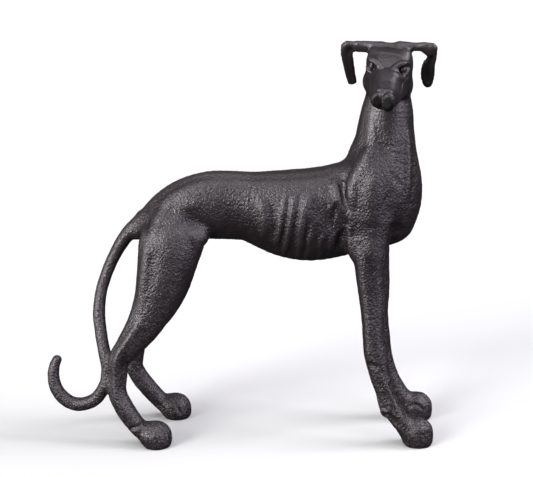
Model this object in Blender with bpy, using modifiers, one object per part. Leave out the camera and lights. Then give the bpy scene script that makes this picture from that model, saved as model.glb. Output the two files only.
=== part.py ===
"""A greyhound standing with its head turned to its right, cast in iron as one piece.

+X is towards the chest, -Y is the dog's right side and the way it looks, +Z is up.
The origin is on the floor, under the middle of the casting.
The figure is built as a modeller works in clay: soft masses are laid on one another and fused,
the skin is drawn onto their soft union and evened out, and ribs and creases are carved in
strokes. Proportions are in millimetres on a figure 342 mm tall, with the dog's middle plane at
y = 0 and its soles at SOLE. The meshes are in metres: MM turns one into the other, so HEIGHT
sets the size of the whole figure.
"""

import math
from collections import namedtuple

import bmesh
import bpy
import numpy as np
from mathutils import Euler, Matrix, Vector

# Driving dimensions, in metres
HEIGHT = 0.342  # soles to the top of the ears
HIND_TRACK = 0.072  # between the middles of the two hind paws
FORE_TRACK = 0.066  # between the middles of the two fore paws
HIND_STAGGER = 0.010  # how far the left hind leg stands ahead of the right one
FORE_STAGGER = 0.009  # the same for the forelegs

MM = HEIGHT / 342.0  # one millimetre on a figure 342 mm tall

# Pose of the head: turned from straight ahead, nose down, left ear down, in degrees
HEAD_TURN = 100.0
HEAD_NOD = 20.0
HEAD_TILT = 4.0
SKULL_CENTRE = (125.7, -6.0, 319.0)
EYES = ((-13.8, 6.2), (11.6, 5.4))  # how far left and up, in the head's own axes

# How the clay is worked, in millimetres
PELLET_STEP = 0.22  # spacing of the pellets in a strand, as a share of the thinner radius
CHUNK = 12  # pellets that are searched together
CLAY_VOXEL = 1.9  # grid that fuses the pellets
SETTLING = (0.5, 0.5, 0.5, 0, 0)  # how far each pass evens out the skin before drawing it on
PULL = 3.0  # the farthest that one pass moves a point
FAR = 300.0  # stands for the distance to masses out of reach
REACH_SPARE = 2.0  # how far past its blend a pellet is still searched
STROKE_STEP = 0.7  # spacing of the points along a carved stroke
SOLE = -2.0  # height at which the paws are cut off flat
FACES = 9800  # triangles of the finished solid

Mass = namedtuple("Mass", "chunks from_unit blend cut")
Chunk = namedtuple("Chunk", "centres to_unit inverse_square low high")
Stroke = namedtuple("Stroke", "line width height")


def smooth_line(stations, step_between):
    """Rows along a smooth curve through the stations, which start with x, y and z."""
    stations = np.array(stations, float)
    before, after = 2 * stations[0] - stations[1], 2 * stations[-1] - stations[-2]
    knots = np.vstack([before, stations, after])
    line = []
    for a, b, c, d in zip(knots, knots[1:], knots[2:], knots[3:]):
        count = max(2, math.ceil(np.linalg.norm(c[:3] - b[:3]) / step_between(b, c)))
        for t in np.arange(count) / count:
            bend = (2 * a - 5 * b + 4 * c - d) * t**2 + (3 * b - a - 3 * c + d) * t**3
            line.append(b + 0.5 * ((c - a) * t + bend))
    line.append(stations[-1])
    return np.array(line)


def pellet_step(b, c):
    """How far apart pellets lie between two stations with two radii each."""
    return PELLET_STEP * min(b[3:].min(), c[3:].min())


def stroke_step(b, c):
    return STROKE_STEP


def make_mass(centres, axes, radii, blend, cut):
    """Ellipsoid pellets: centres, unit axes in columns and radii."""
    from_unit = np.concatenate([axes * radii[:, None, :], centres[:, :, None]], axis=2)
    to_unit = np.transpose(axes, (0, 2, 1)) / radii[:, :, None]
    chunks = []
    for start in range(0, len(centres), CHUNK):
        part = slice(start, start + CHUNK)
        reach = radii[part].max() + 2.5 * blend + REACH_SPARE
        chunks.append(Chunk(centres[part], to_unit[part], radii[part]**-2.0,
                            centres[part].min(axis=0) - reach,
                            centres[part].max(axis=0) + reach))
    return Mass(chunks, from_unit, blend, cut)


def strand(stations, blend, side=(0, 1, 0), place=Matrix.Identity(4), cut=False):
    """A limb-like mass: ovals swept along stations of (x, y, z, deep, wide), wide along side."""
    line = smooth_line(stations, pellet_step)
    along = np.gradient(line[:, :3], axis=0)
    along /= np.linalg.norm(along, axis=1)[:, None]
    across = np.array(side, float) - along * (along @ np.array(side, float))[:, None]
    across /= np.linalg.norm(across, axis=1)[:, None]
    axes = np.stack([np.cross(across, along), across, along], axis=2)
    radii = np.column_stack([line[:, 3], line[:, 4], line[:, 3:].min(axis=1)])
    turn = np.array(place.to_3x3())
    centres = line[:, :3] @ turn.T + np.array(place.translation)
    return make_mass(centres, turn @ axes, radii, blend, cut)


def lump(centre, radii, blend, place=Matrix.Identity(4), lean=(0, 0, 0), cut=False):
    """One ellipsoid, leaning by Euler angles in degrees."""
    axes = place.to_3x3() @ Euler([math.radians(a) for a in lean]).to_matrix()
    middle = np.array(place @ Vector(centre))
    return make_mass(middle[None], np.array(axes)[None], np.array([radii], float), blend, cut)


def stroke(stations, place=Matrix.Identity(4)):
    """A line drawn on the skin: (x, y, z, width, height), sunk where the height is negative."""
    line = smooth_line(stations, stroke_step)
    turn = np.array(place.to_3x3())
    return Stroke(line[:, :3] @ turn.T + np.array(place.translation), line[:, 3], line[:, 4])


def mirrored(drawing, place=Matrix.Identity(4)):
    """Strokes of both sides from a drawing of one, with y as the distance out."""
    return [stroke([(x, side * y, *rest) for x, y, *rest in stations], place)
            for side in (-1, 1) for stations in drawing]


def body():
    """The trunk from rump to chest, then the neck."""
    return [
        strand([(-73, 0, 185.5, 15.5, 14), (-57, 0, 193, 22.5, 19.5), (-41, 0, 199, 26.3, 21.5),
                (-24, 0, 201.3, 29.2, 20.5), (-7, 0, 201.3, 29.6, 19.5), (10, 0, 200.2, 30, 21),
                (27, 0, 197, 34.3, 24), (44, 0, 194, 38.3, 26.5), (61, 0, 193.2, 40, 28),
                (78, 0, 195.5, 39.7, 28), (95, 0, 197.5, 37.5, 27), (106, 0, 198, 33, 26)], 6),
        lump((90, 0, 228), (12, 14, 12), 5),
        strand([(118.5, 0, 190, 32, 23.5), (120.5, 0, 206, 35, 26), (121, 0, 223, 34.5, 25.5),
                (122, 0, 240, 30, 23.5), (123.5, 0, 254, 26, 21), (124, 0, 267, 23.8, 18.7),
                (125, 0, 281, 21.8, 17), (125.5, 1, 295, 18.4, 16),
                (125.5, 2, 308, 17, 16)], 8),
    ]


def hind_leg(side):
    """Thigh, hock and paw of one side: -1 is the dog's right, 1 its left."""
    ahead = HIND_STAGGER / MM if side > 0 else 0
    paw = side * HIND_TRACK / MM / 2
    return [
        strand([(-55, paw * 0.42, 185, 20, 12),
                (-57.5 + ahead * 0.2, paw * 0.53, 171, 26, 15),
                (-63 + ahead * 0.4, paw * 0.62, 148, 22.6, 15),
                (-69.7 + ahead * 0.6, paw * 0.69, 124, 18.6, 13.5),
                (-80 + ahead * 0.8, paw * 0.77, 103, 14.8, 11.5),
                (-92.3 + ahead * 0.9, paw * 0.85, 86, 11.4, 9.5),
                (-101 + ahead * 0.9, paw * 0.89, 74, 9.2, 8.2),
                (-102 + ahead * 0.8, paw * 0.92, 60, 7.6, 7),
                (-103 + ahead * 0.75, paw * 0.95, 46, 7.9, 7),
                (-97.4 + ahead * 0.9, paw * 0.98, 32.5, 8.1, 7.8),
                (-88.2 + ahead * 1.1, paw, 18.5, 7.7, 8.6),
                (-79.5 + ahead * 1.15, paw, 9.5, 7.4, 9.6),
                (-73 + ahead * 1.2, paw, 7, 7.4, 10.4)], 8),
        lump((-33, side * 9, 174), (10, 6, 7.5), 5),
        lump((-76.5 + ahead * 1.15, paw, 10), (6.6, 9.6, 8.4), 4),
        lump((-70.5 + ahead * 1.2, paw, 7.7), (13.2, 12.3, 12.6), 4),
        lump((-69.8 + ahead * 1.25, paw, 3), (12.2, 11.7, 9), 3),
    ]


def foreleg(side):
    """Forearm, pastern and paw of one side."""
    ahead = FORE_STAGGER / MM if side > 0 else 0
    paw = side * FORE_TRACK / MM / 2
    return [
        strand([(113, paw * 0.6, 190, 15, 11), (111 + ahead * 0.7, paw * 0.67, 165, 14, 11),
                (111 + ahead, paw * 0.73, 145, 12, 9.5), (113.2 + ahead, paw * 0.79, 122, 10.7, 9),
                (113.8 + ahead, paw * 0.85, 105, 9.4, 8.6),
                (114.5 + ahead, paw * 0.88, 92, 9.2, 8.4),
                (116.5 + ahead * 0.9, paw * 0.91, 78, 9.8, 8.8),
                (120.3 + ahead * 0.8, paw * 0.94, 61, 9, 8),
                (125.5 + ahead * 0.85, paw * 0.97, 44, 8, 7.6),
                (130 + ahead * 0.85, paw * 0.98, 33, 8.3, 8.4),
                (137 + ahead * 0.85, paw, 22, 8, 9.4),
                (144.5 + ahead * 0.85, paw, 13, 8.2, 10.2),
                (151 + ahead * 0.85, paw, 9, 8.6, 10.8)], 8),
        lump((126.3 + ahead, paw * 0.97, 28), (5, 6, 4.6), 3),
        lump((153.2 + ahead * 0.85, paw, 9.3), (13.5, 12, 13.3), 5),
        lump((153.7 + ahead * 0.85, paw, 3), (12.8, 11.5, 9), 3),
    ]


def shoulder(side):
    """The shoulder over the ribcage, the elbow, and the creases behind them."""
    return [
        lump((111, side * 16.5, 211), (24, 14, 40), 7, lean=(0, 8, 0)),
        lump((99, side * 20, 170), (7, 8, 12), 6),
        strand([(80.5, side * 18.5, 224, 1.8, 1.8), (82.5, side * 24.3, 211, 2.4, 2.4),
                (86, side * 26.5, 197, 1.8, 1.8)], 3),
        strand([(92, side * 17.5, 238, 1.5, 1.5), (88, side * 21, 228, 2.4, 2.4),
                (86.8, side * 26, 216, 2.8, 2.8), (88.3, side * 29, 203, 2.8, 2.8),
                (91, side * 29.8, 190, 2, 2)], 2.5, cut=True),
        lump((83.5, side * 32.3, 184), (8.5, 7, 22), 5, cut=True),
    ]


def tail():
    """From the rump down to the right hock, which it is cast onto, then out in a hook."""
    return [
        lump((-86, -1, 179), (7, 7, 7.5), 4),
        strand([(-82, 0, 188.5, 7, 7), (-94.8, -0.5, 176.5, 6.2, 6.2), (-107, -3, 157, 5.3, 5.3),
                (-116.5, -8, 133, 5, 5), (-119.5, -14, 112, 5.2, 5.2),
                (-117.5, -20, 94, 5.2, 5.2), (-114.3, -26, 79, 5.2, 5.2),
                (-112, -29, 65, 5, 5), (-114, -30, 51, 5.3, 5.3), (-122, -29, 38.5, 5.6, 5.6),
                (-133, -28, 33.2, 5.8, 5.8), (-143, -27, 33.6, 5.8, 5.8),
                (-151.5, -26, 39, 5.7, 5.7), (-157, -25, 47.5, 5.4, 5.4),
                (-158.8, -24, 57.5, 5, 5), (-157.8, -23, 65.5, 4.5, 4.5),
                (-155.5, -22.5, 71, 4, 4)], 4),
    ]


def head_place():
    """From the head's own axes, forwards, left and up, to the figure's."""
    turn = Matrix.Rotation(math.radians(-HEAD_TURN), 4, "Z")
    nod = Matrix.Rotation(math.radians(HEAD_NOD), 4, "Y")
    tilt = Matrix.Rotation(math.radians(-HEAD_TILT), 4, "X")
    return Matrix.Translation(SKULL_CENTRE) @ turn @ nod @ tilt


def head():
    """Skull, jaws, muzzle, brows and eyes, and the two strap ears."""
    place = head_place()
    masses = [
        strand([(-10, 0, -1, 13, 9), (-2, 0, -0.5, 15.6, 10), (8, 0, -2.3, 15.4, 9.6),
                (16, 0, -4.8, 13, 8.6), (28, 0, -5.6, 12.4, 7), (43, -0.3, -5, 10.3, 6),
                (54, -0.3, -4, 8.4, 5)], 3, place=place),
        strand([(-9, -28, 11.8, 4.2, 2.6), (-9, -16, 12.2, 4.3, 3.4), (-9, -4, 12.6, 4.4, 4),
                (-9, 8, 13.4, 4.2, 3.8), (-9.4, 18, 14.6, 3, 2.8), (-9.4, 27, 15.6, 3.2, 2.4)],
               3, side=(1, 0, 0), place=place),
        lump((-1, -13.4, 5), (10, 5.6, 9.5), 4, place),
        lump((-1, 12.4, 6.5), (10, 5.6, 9.5), 4, place),
        lump((2, -15.4, -13.4), (11, 6, 8.2), 4, place),
        lump((3, 14, -15.4), (11, 6.4, 8.8), 4, place),
    ]
    for side in (-1, 1):
        masses += [
            strand([(-10, side * 6, -1, 13, 11), (-2, side * 7, -0.5, 15.6, 12.2),
                    (8, side * 7, -2.5, 15.6, 11.3), (16, side * 6.4, -5, 13.2, 9.6),
                    (28, side * 5, -5.7, 12.5, 7.4), (43, side * 4, -5, 10.3, 6.2),
                    (54, side * 3.4, -4, 8.4, 5.2)], 3, place=place),
            strand([(3, side * 13.6, -12, 9.4, 5.4), (14, side * 11.4, -11.4, 9, 5.5),
                    (28, side * 9, -10, 8.6, 5.1), (43, side * 6.6, -8.4, 7, 4)],
                   4, place=place),
        ]
    masses += left_ear(place) + right_ear(place)
    for side, (y, z) in zip((-1, 1), EYES):
        masses += [
            lump((18.8, y, z), (3.4, 5.2, 3.8), 1.5, place, (0, 0, side * -20), True),
            lump((14.6, y, z - 0.4), (3.8, 3.6, 3.4), 0.8, place),
            strand([(21.6, y - side * 7.4, z + 1.6, 1.4, 2), (19, y - side * 4, z + 4.6, 1.7, 2.3),
                    (16.4, y, z + 5.8, 1.7, 2.4), (12, y + side * 3, z + 4, 1.3, 2)],
                   2.5, place=place),
        ]
    masses += [
        lump((58.4, -5.1, -2.6), (4.6, 4.2, 6.2), 0.8, place),
        lump((58.2, 3.4, -4), (4.8, 5.2, 7.8), 0.8, place),
        lump((92.4, -0.4, 2), (30, 30, 30), 0.8, place, cut=True),
    ]
    return masses


def left_ear(place):
    """The ear on the dog's right, folded down from the end of its strap."""
    return [
        strand([(-9, -9, 12.6, 4.3, 5), (-9.2, -18, 12.2, 4.3, 3), (-9.2, -27, 11.9, 4.2, 2.4),
                (-8.8, -37.4, 11.8, 4.3, 2.3)], 3, side=(1, 0, 0), place=place),
        strand([(-8.8, -36.6, 11.6, 5.4, 2.3), (-8.8, -36.8, 4.6, 5.2, 2.3),
                (-9.4, -35.2, -4, 4.8, 2.3), (-10.2, -33.2, -13.6, 4.4, 2.2),
                (-10.8, -31.2, -21.8, 4, 2.2)], 3, side=(1, 0, 0), place=place),
    ]


def right_ear(place):
    """The ear on the dog's left, with a waist above its lobe."""
    return [
        strand([(-9, 7, 14.4, 4.3, 5), (-9.5, 16, 15.2, 3, 3), (-9.5, 21, 15.4, 2.7, 2.3),
                (-9, 27, 16, 3.6, 2.3), (-8.6, 33.6, 15.6, 4.4, 2.3)],
               3, side=(1, 0, 0), place=place),
        lump((-8.8, 29.6, 12.8), (2.3, 4.4, 3.6), 2, place),
        strand([(-8.6, 33, 15.4, 4.8, 2.3), (-8.6, 33.8, 7, 4, 2.3),
                (-9.4, 31.6, -0.6, 5.4, 2.4), (-10, 31.4, -9, 5.9, 2.4),
                (-10.4, 32, -16.2, 4.6, 2.2), (-10.6, 32.6, -19.2, 3.2, 1.9)],
               3, side=(1, 0, 0), place=place),
    ]


def greyhound_masses():
    """Every mass of the figure, in the order in which it is laid on."""
    masses = body()
    for side in (-1, 1):
        masses += hind_leg(side) + foreleg(side) + shoulder(side)
    return masses + tail() + head()


def distance_to(chunk, points):
    """Distance from each point to the nearest pellet's surface, negative inside it."""
    count = len(chunk.centres)
    flat = chunk.to_unit.reshape(count * 3, 3)
    shift = np.einsum("mij,mj->mi", chunk.to_unit, chunk.centres).reshape(-1)
    square = (points @ flat.T - shift).reshape(len(points), count, 3)**2
    reach = np.sqrt(square.sum(axis=2)) + 1e-9
    slope = np.sqrt((square * chunk.inverse_square).sum(axis=2)) + 1e-9
    return ((reach - 1) * reach / slope).min(axis=1)


def soft_min(a, b, blend):
    """The smaller of a and b, rounded over where they are closer than blend."""
    overlap = np.clip(1 - np.abs(a - b) / blend, 0, 1)
    return np.minimum(a, b) - overlap**2 * blend / 4


def skin_distance(masses, points):
    """Distance from each point to the soft union of the masses, less the cut ones."""
    distance = np.full(len(points), FAR)
    for mass in masses:
        found = np.full(len(points), FAR)
        for chunk in mass.chunks:
            near = ((points > chunk.low) & (points < chunk.high)).all(axis=1)
            if near.any():
                found[near] = np.minimum(found[near], distance_to(chunk, points[near]))
        if mass.cut:
            distance = -soft_min(-distance, found, mass.blend)
        else:
            distance = soft_min(distance, found, mass.blend)
    return distance


def fuse(masses, voxel):
    """A closed mesh round all the pellets, on a grid of the given size."""
    sphere = bmesh.new()
    bmesh.ops.create_icosphere(sphere, subdivisions=2, radius=1)
    ball = np.array([vert.co[:] for vert in sphere.verts])
    faces = np.array([[vert.index for vert in face.verts] for face in sphere.faces])
    sphere.free()
    pellets = np.concatenate([mass.from_unit for mass in masses if not mass.cut])
    points = np.einsum("nij,kj->nki", pellets[:, :, :3], ball) + pellets[:, None, :, 3]
    corners = (faces[None] + np.arange(len(pellets))[:, None, None] * len(ball)).reshape(-1, 3)
    mesh = bpy.data.meshes.new("clay")
    mesh.from_pydata((points.reshape(-1, 3) * MM).tolist(), [], corners.tolist())
    lumps = bpy.data.objects.new("clay", mesh)
    bpy.context.scene.collection.objects.link(lumps)
    remesh = lumps.modifiers.new("Fuse", "REMESH")
    remesh.mode = "VOXEL"
    remesh.voxel_size = voxel * MM
    graph = bpy.context.evaluated_depsgraph_get()
    fused = bpy.data.meshes.new_from_object(lumps.evaluated_get(graph))
    bpy.data.objects.remove(lumps)
    bpy.data.meshes.remove(mesh)
    return fused


def read_points(mesh):
    """The mesh's points in sketch millimetres."""
    points = np.empty(len(mesh.vertices) * 3)
    mesh.vertices.foreach_get("co", points)
    return points.reshape(-1, 3) / MM


def write_points(mesh, points):
    """Moves the mesh's points to places in sketch millimetres."""
    mesh.vertices.foreach_set("co", (points * MM).ravel())
    mesh.update()


def read_normals(mesh):
    """The skin's direction outwards at each point."""
    normals = np.empty(len(mesh.vertices) * 3)
    mesh.vertex_normals.foreach_get("vector", normals)
    return normals.reshape(-1, 3)


def relaxed(mesh, points, share):
    """The points drawn a share of the way to the middle of their neighbours."""
    edges = np.empty(len(mesh.edges) * 2, int)
    mesh.edges.foreach_get("vertices", edges)
    ends = np.concatenate([edges.reshape(-1, 2), edges.reshape(-1, 2)[:, ::-1]])
    count = len(points)
    total = np.stack([np.bincount(ends[:, 0], points[ends[:, 1], axis], count)
                      for axis in range(points.shape[1])], axis=1)
    return points + share * (total / np.bincount(ends[:, 0], minlength=count)[:, None] - points)


def settle(mesh, masses, relaxing):
    """Draws the mesh onto the soft union, relaxing its faces by each share in turn first."""
    for share in relaxing:
        points = read_points(mesh)
        if share:
            points = relaxed(mesh, points, share)
            write_points(mesh, points)
        move = skin_distance(masses, points)
        write_points(mesh, points - read_normals(mesh) * np.clip(move, -PULL, PULL)[:, None])


def flank_strokes():
    """Ribs, the hollows between them, and the creases behind the shoulder."""
    return [
        [(14, 19, 214, 5, 0), (19, 22, 205, 7, 1.5), (20.5, 22, 192, 7, 1.7),
         (20, 21, 182, 6, 1.4), (17, 17, 174, 5, 0)],
        [(25.5, 24, 207, 3.5, 0), (26, 24, 198, 4, -1.1), (28, 23, 182, 3.6, -1.1),
         (29, 18, 172, 3, 0)],
        [(37, 21, 217, 3, 0), (35.5, 23, 208, 4.4, 1), (33, 26, 193, 4.6, 1.4),
         (30, 22, 176, 4, 1), (28, 17, 169, 3, 0)],
        [(38.5, 24, 207, 3, 0), (37, 26, 193, 3.4, -1), (34, 22, 176, 3, -0.9),
         (32, 16, 166, 3, 0)],
        [(46, 21, 217, 3, 0), (43.5, 24, 209, 4.4, 1.1), (40, 26, 190, 4.6, 1.5),
         (37, 21, 172, 4, 1), (36, 15, 163, 3, 0)],
        [(47, 25, 206, 3, 0), (44.5, 26, 190, 3.4, -1), (42, 20, 170, 3, -0.8),
         (41, 15, 161, 3, 0)],
        [(58, 22, 218, 4, 0), (54, 25, 209, 6, 1.6), (50, 27, 192, 6, 1.8),
         (48, 24, 176, 4.6, 1.4), (47, 15, 161, 3.5, 0.6)],
        [(58, 26, 200, 4, 0), (54, 26, 186, 3.6, -0.9), (52, 20, 168, 3, -0.8),
         (51, 14, 160, 3, 0)],
        [(60, 26, 189, 3, 0), (56.5, 24, 178, 3.6, 1), (54, 14, 160, 3.4, 0.8)],
        [(73, 26, 184, 3, 0), (68.5, 24, 175, 3.4, 1), (66, 13, 160, 3.2, 0.7)],
        [(83, 25, 186, 3, 0), (78.5, 24, 177, 3.2, 0.9), (76, 14, 162, 3, 0.6)],
        [(62, 24, 212, 10, 0), (68, 27, 200, 13, -1.6), (70, 27, 190, 12, -1.4),
         (72, 24, 178, 9, 0)],
        [(81.5, 27, 212, 2.6, 0), (80, 27, 203, 3.6, -1.6), (78.5, 26, 192, 3.8, -1.5),
         (79, 24, 180, 3, 0)],
        [(77, 19, 229, 2.4, 0), (80, 23, 221, 3, 1.1), (83, 26, 210, 3.2, 1.3),
         (88, 26, 199, 3, 1), (91, 27, 190, 2.6, 0)],
        [(87, 14, 238, 3, 0), (85.5, 17, 228, 3.6, -1.2), (87, 23, 215, 3.8, -1.6),
         (91.5, 27, 203, 3.6, -1.3), (95, 28, 194, 3, 0)],
        [(86, 25, 187, 4, 0), (86, 24, 181, 5, -1.8), (88, 21, 172, 4, 0)],
    ]


def neck_and_chest_strokes():
    """Crests of the neck and shoulder and the dimple of the breast."""
    return [
        [(112.5, 13, 286, 4, 0), (112.5, 15, 279, 7, 1.1), (113, 17, 267, 8, 1.6),
         (111, 20, 253, 8, 1.6), (105, 24, 241, 9, 1.5), (98, 26, 228, 9, 1.2),
         (94, 27, 214, 7, 0.8), (93, 28, 204, 5, 0)],
        [(121, 17, 282, 4, 0), (121.5, 18, 272, 7, -1.3), (121, 21, 256, 8, -1.4),
         (117, 26, 240, 8, -1), (112, 28, 226, 6, 0)],
        [(137, 18, 262, 5, 0), (138, 18.5, 250, 7, 0.9), (140, 20, 234, 8, 1.2),
         (141, 21, 218, 7, 0.9), (141, 21, 206, 5, 0)],
        [(119, 27, 236, 3, 0), (128, 27, 228, 4.5, -1.1), (136, 24, 221, 4, -0.8),
         (141, 21, 216, 3, 0)],
        [(97, 27, 196, 4, 0), (97.5, 28, 186, 5, 0.9), (96, 27, 173, 5, 0.8),
         (97, 27, 163, 4, 0)],
    ]


def quarter_strokes():
    """The line below the spine, the hip, the ham and the fold of the flank."""
    return [
        [(-86, 6, 190, 3, 0), (-74, 10, 202, 4, -0.9), (-53, 11, 218, 4, -1), (-32, 10, 226, 4, -1),
         (1, 10, 226.5, 4, -1), (35, 12, 227, 4, -1), (68, 13, 229.5, 4, -0.9),
         (82, 10, 235, 3, 0)],
        [(-57, 14, 211, 5, 0), (-61, 17, 205, 8, 1), (-67, 21, 196, 8, 1.3), (-73, 27, 184, 7, 0.8),
         (-76, 29, 177, 5, 0)],
        [(-77, 12, 196, 3, 0), (-76, 18, 190, 4, -1), (-75.5, 25, 184, 3.5, -0.8),
         (-75, 28, 178, 3, 0)],
        [(-28, 20, 205, 6, 0), (-35, 21, 198, 10, -0.9), (-42, 24, 190, 10, -1.1),
         (-47, 30, 181, 8, 0)],
        [(-42, 28, 186, 4, 0), (-37.5, 25, 179, 5, 1.1), (-34, 24, 171, 4.6, 1.1),
         (-34, 26, 162, 4, 0)],
        [(-28, 17, 184, 4, 0), (-30, 16, 177, 5, -1), (-29, 14, 172, 4, 0)],
        [(-76, 29, 176, 4, 0), (-77, 31, 168, 6, 0.9), (-79, 33, 150, 6.5, 1.1),
         (-81, 35, 131, 6.5, 1), (-84, 36, 117, 5, 0)],
        [(-68, 33, 172, 5, 0), (-70, 35, 160, 7, -0.8), (-72, 37, 146, 7, -0.8),
         (-75, 38, 128, 6, 0)],
        [(-83, 37, 112, 4, 0), (-88, 38, 104, 6, 0.9), (-96, 38, 94, 6, 1), (-104, 37, 84, 5, 0.8),
         (-107, 37, 76, 4, 0.8), (-108, 37, 62, 4.5, 0.9), (-105.5, 40, 46, 4, 0)],
        [(-76, 39, 108, 5, 0), (-86, 40, 94, 6, -0.8), (-98, 40, 80, 5.5, -0.9),
         (-100.5, 41, 66, 5, -0.7), (-99, 41, 48, 4, 0)],
    ]


def carve(mesh, strokes):
    """Raises or sinks the skin along each stroke, fading out to its width on either side."""
    points, normals = read_points(mesh), read_normals(mesh)
    lift = np.zeros(len(points))
    for line, width, height in strokes:
        reach = width.max()
        inside = (points > line.min(axis=0) - reach) & (points < line.max(axis=0) + reach)
        near = np.nonzero(inside.all(axis=1))[0]
        gap = np.linalg.norm(points[near, None] - line, axis=2)
        spot = gap.argmin(axis=1)
        share = 1 - (gap.min(axis=1) / width[spot])**2
        lift[near] += height[spot] * np.clip(share, 0, 1)**2
    write_points(mesh, points + normals * lift[:, None])


def cut_soles(mesh):
    """Cuts the paws off flat and closes the cuts."""
    work = bmesh.new()
    work.from_mesh(mesh)
    geometry = work.verts[:] + work.edges[:] + work.faces[:]
    cut = bmesh.ops.bisect_plane(work, geom=geometry, plane_co=(0, 0, SOLE * MM),
                                 plane_no=(0, 0, -1), clear_outer=True)
    rims = [item for item in cut["geom_cut"] if isinstance(item, bmesh.types.BMEdge)]
    bmesh.ops.holes_fill(work, edges=rims, sides=0)
    bmesh.ops.triangulate(work, faces=work.faces[:])
    work.to_mesh(mesh)
    work.free()


def stand_on_origin(mesh):
    """Moves the mesh so that its box stands on the origin."""
    points = np.empty(len(mesh.vertices) * 3)
    mesh.vertices.foreach_get("co", points)
    low, high = points.reshape(-1, 3).min(axis=0), points.reshape(-1, 3).max(axis=0)
    mesh.transform(Matrix.Translation((-(low[0] + high[0]) / 2, -(low[1] + high[1]) / 2, -low[2])))


def thin_out(mesh, faces):
    """The same surface with about the given number of triangles."""
    carrier = bpy.data.objects.new("greyhound", mesh)
    bpy.context.collection.objects.link(carrier)
    decimate = carrier.modifiers.new("Thin out", "DECIMATE")
    decimate.ratio = faces / (2 * len(mesh.polygons))
    decimate.use_collapse_triangulate = True
    graph = bpy.context.evaluated_depsgraph_get()
    thinned = bpy.data.meshes.new_from_object(carrier.evaluated_get(graph))
    bpy.data.objects.remove(carrier)
    bpy.data.meshes.remove(mesh)
    thinned.name = "greyhound"
    return thinned


def cast_iron():
    """Black-brown painted iron with a dull sand-cast skin."""
    material = bpy.data.materials.new("cast_iron")
    material.use_nodes = True
    shader = material.node_tree.nodes["Principled BSDF"]
    shader.inputs["Base Color"].default_value = (0.035, 0.031, 0.032, 1)
    shader.inputs["Metallic"].default_value = 0.6
    shader.inputs["Roughness"].default_value = 0.5
    return material


def main():
    for existing in list(bpy.data.objects):
        bpy.data.objects.remove(existing)
    masses = greyhound_masses()
    mesh = fuse(masses, CLAY_VOXEL)
    settle(mesh, masses, SETTLING)
    carve(mesh, mirrored(flank_strokes() + neck_and_chest_strokes() + quarter_strokes()))
    mesh = thin_out(mesh, FACES)
    cut_soles(mesh)
    stand_on_origin(mesh)
    mesh.shade_smooth()
    mesh.materials.append(cast_iron())
    figure = bpy.data.objects.new("greyhound", mesh)
    parts = bpy.data.collections.new("Greyhound sculpture")
    bpy.context.scene.collection.children.link(parts)
    parts.objects.link(figure)


if __name__ == "__main__":
    main()
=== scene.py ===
"""The looks of the cast iron greyhound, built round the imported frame.

The casting is worked here as in clay, in millimetres on the 342 mm figure, with the dog's
middle plane at y = 0: soft masses are laid on one another and fused, the skin is drawn onto
their soft union, the face and paws are refined, and creases and casting grain are carved.
"""

import math
from collections import namedtuple

import bmesh
import bpy
import numpy as np
from mathutils import Euler, Matrix, Vector, noise


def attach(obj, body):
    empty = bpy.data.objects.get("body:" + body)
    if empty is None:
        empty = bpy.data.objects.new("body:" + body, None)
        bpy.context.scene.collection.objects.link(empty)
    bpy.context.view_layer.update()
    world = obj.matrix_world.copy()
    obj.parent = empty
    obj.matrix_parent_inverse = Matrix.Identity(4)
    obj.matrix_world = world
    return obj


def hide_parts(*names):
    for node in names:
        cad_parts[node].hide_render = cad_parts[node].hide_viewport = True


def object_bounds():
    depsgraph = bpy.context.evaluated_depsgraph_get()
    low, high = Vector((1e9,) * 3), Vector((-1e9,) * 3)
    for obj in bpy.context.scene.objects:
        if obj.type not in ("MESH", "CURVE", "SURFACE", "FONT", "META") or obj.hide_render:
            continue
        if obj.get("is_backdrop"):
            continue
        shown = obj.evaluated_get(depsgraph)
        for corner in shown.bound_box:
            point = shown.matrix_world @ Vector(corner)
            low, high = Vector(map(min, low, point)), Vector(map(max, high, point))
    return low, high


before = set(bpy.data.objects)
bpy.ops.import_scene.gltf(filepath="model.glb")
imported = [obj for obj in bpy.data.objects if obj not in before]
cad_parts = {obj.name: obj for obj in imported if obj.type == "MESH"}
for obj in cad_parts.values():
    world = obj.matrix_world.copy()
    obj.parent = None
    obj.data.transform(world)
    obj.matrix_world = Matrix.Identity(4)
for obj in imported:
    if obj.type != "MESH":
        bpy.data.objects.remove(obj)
CAD_LOW, CAD_HIGH = (np.array(corner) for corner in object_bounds())

MM = 0.001

# Stance in metres, as in the solid
HIND_TRACK = 0.072  # between the middles of the two hind paws
FORE_TRACK = 0.066  # between the middles of the two fore paws
HIND_STAGGER = 0.010  # how far the left hind leg stands ahead of the right one
FORE_STAGGER = 0.009  # the same for the forelegs

# Pose of the head, as in the solid: turned, nose down and left ear down, in degrees
HEAD_TURN = 100.0
HEAD_NOD = 20.0
HEAD_TILT = 4.0
SKULL_CENTRE = (125.7, -6.0, 319.0)
EYES = ((-13.8, 6.2, 3.8), (11.6, 5.4, 5))  # left, up and half width, in the head's own axes
SOLE = -2.0  # height at which the paws are cut off flat

# How the skin is worked, in millimetres
PELLET_STEP = 0.22  # spacing of the pellets in a strand, as a share of the thinner radius
PULL = 3.0  # the farthest that one pass moves a point
FAR = 300.0  # stands for the distance to masses out of reach
REACH_SPARE = 2.0  # how far past its blend a pellet is still searched
STROKE_STEP = 0.7  # spacing of the points along a carved stroke
FUSE_VOXEL = 1.6  # grid that fuses the pellets
CHUNK = 12  # pellets that are searched together
BROAD_SETTLING = (0.5, 0.5, 0.4)  # how far each pass evens out the skin before drawing it on
FINE_SETTLING = (0.3, 0.3)
FACE_SETTLING = (0.3, 0.2, 0, 0)
TRIANGLES = 190000  # about as many as the finished casting has

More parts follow.
